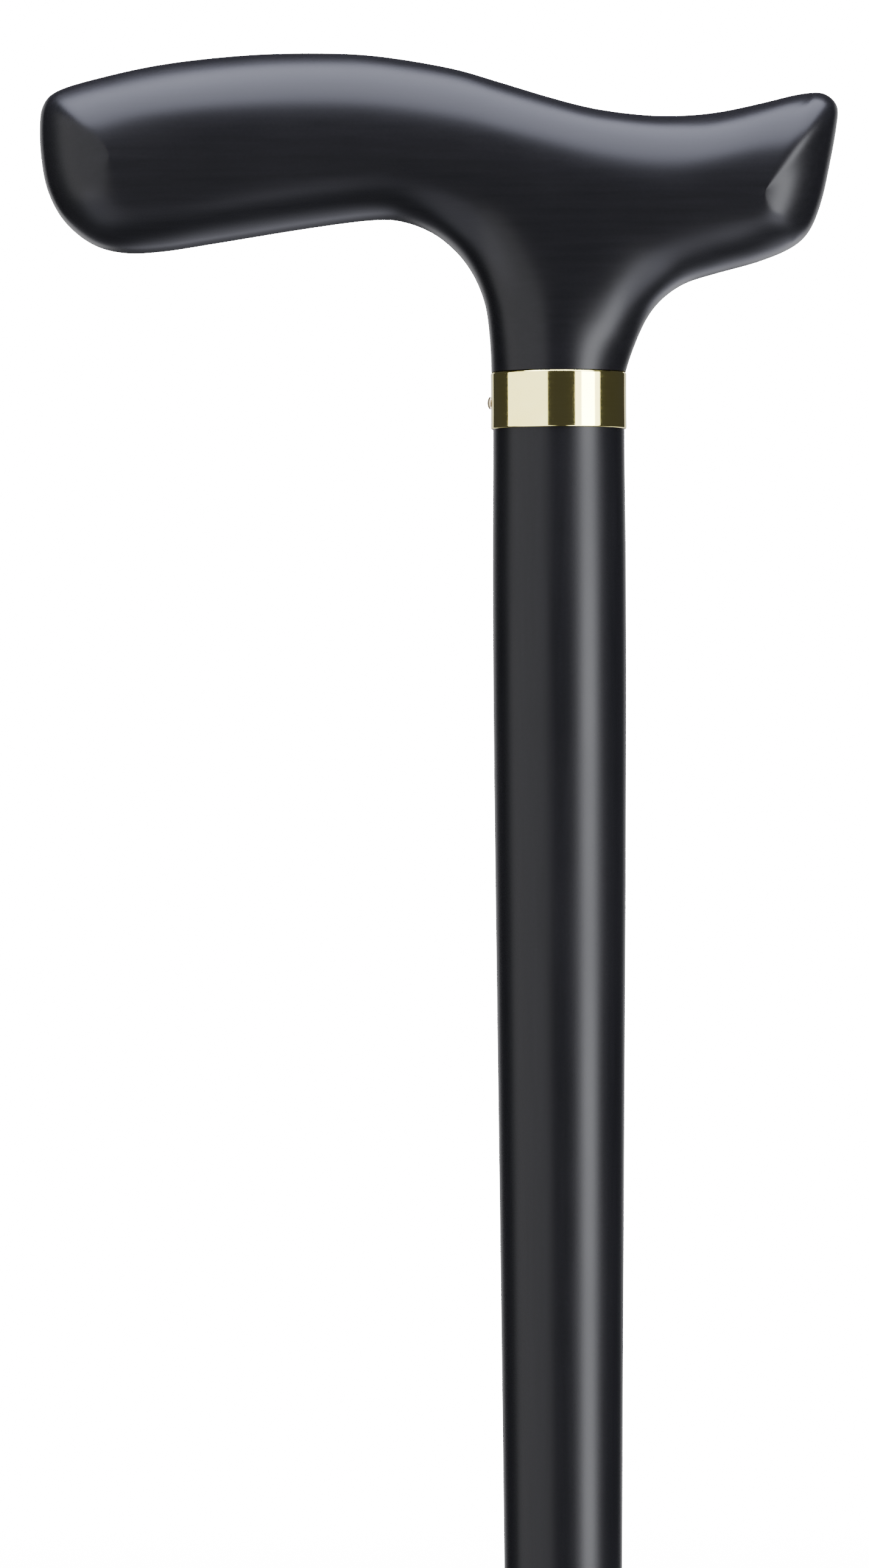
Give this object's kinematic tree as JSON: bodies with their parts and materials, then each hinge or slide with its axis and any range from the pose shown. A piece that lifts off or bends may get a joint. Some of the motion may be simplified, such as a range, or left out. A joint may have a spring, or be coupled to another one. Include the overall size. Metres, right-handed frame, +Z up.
{
  "type": "single point cane",
  "caption": "Wooden walking cane with a fritz handle, a brass collar, a tapered shaft and a pull-off rubber tip.",
  "frame": {"origin": "middle of the rubber tip's floor face", "axes": "+Z up the shaft to the handle, +X towards the handle's short nose, -X towards its palm end; XZ is the cane's mirror plane"},
  "size_m": [0.1329, 0.031, 0.914],
  "materials": {
    "black_lacquer": "satin black lacquer on hardwood",
    "polished_brass": "mirror polished",
    "dull_brass": "tarnished",
    "zinc_steel": "zinc plated",
    "black_rubber": "moulded matt"
  },
  "bodies": {
    "stick": {"handle": "black_lacquer", "collar": "polished_brass", "collar_pin": "dull_brass", "shaft": "black_lacquer", "joint_screw": "zinc_steel"},
    "tip": {"rubber_tip": "black_rubber", "tip_washer": "zinc_steel"}
  },
  "joints": [
    {"name": "tip_pull", "type": "slide", "parent": "stick", "child": "tip", "axis": [0, 0, -1], "range_m": [0, 0.032]}
  ]
}
